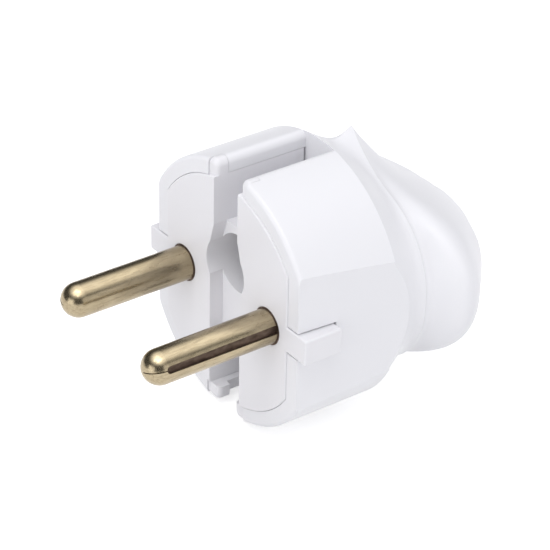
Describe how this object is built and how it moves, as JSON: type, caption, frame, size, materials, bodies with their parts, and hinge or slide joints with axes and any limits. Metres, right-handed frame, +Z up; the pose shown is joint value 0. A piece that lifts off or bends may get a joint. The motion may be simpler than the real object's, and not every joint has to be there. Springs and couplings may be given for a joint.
{
  "type": "electrical plug",
  "caption": "Rewireable white mains plug with round pins, a slotted barrel, a screwed-in pin carrier and a flared grip over the cord clamp",
  "frame": {"origin": "centre of the engagement face, midway between the axes of the two pins", "axes": "+Y runs from the face to the tail along the pins' direction, +X across the pins, +Z up"},
  "size_m": [0.0414, 0.054, 0.038],
  "materials": {
    "shell_plastic": "smooth moulded, soft gloss",
    "carrier_plastic": "smooth moulded, soft gloss",
    "clamp_plastic": "moulded, satin",
    "pin_brass": "rolled sheet, dull, lightly scratched",
    "terminal_brass": "stamped, dull",
    "screw_steel": "zinc plated"
  },
  "bodies": {
    "root": {"shell": "shell_plastic", "pin_carrier": "carrier_plastic", "cord_clamp_bar": "clamp_plastic", "pin_near": "pin_brass", "pin_far": "pin_brass", "terminal_screw_near": "screw_steel", "terminal_screw_far": "screw_steel", "housing_screw": "screw_steel", "housing_washer": "screw_steel", "housing_nut": "screw_steel", "cord_clamp_screw_near": "screw_steel", "cord_clamp_screw_far": "screw_steel", "cord_clamp_nut_near": "screw_steel", "cord_clamp_nut_far": "screw_steel", "clamp_washer_near": "terminal_brass", "clamp_washer_far": "terminal_brass", "terminal_nut_near": "terminal_brass", "terminal_nut_far": "terminal_brass"}
  },
  "joints": []
}
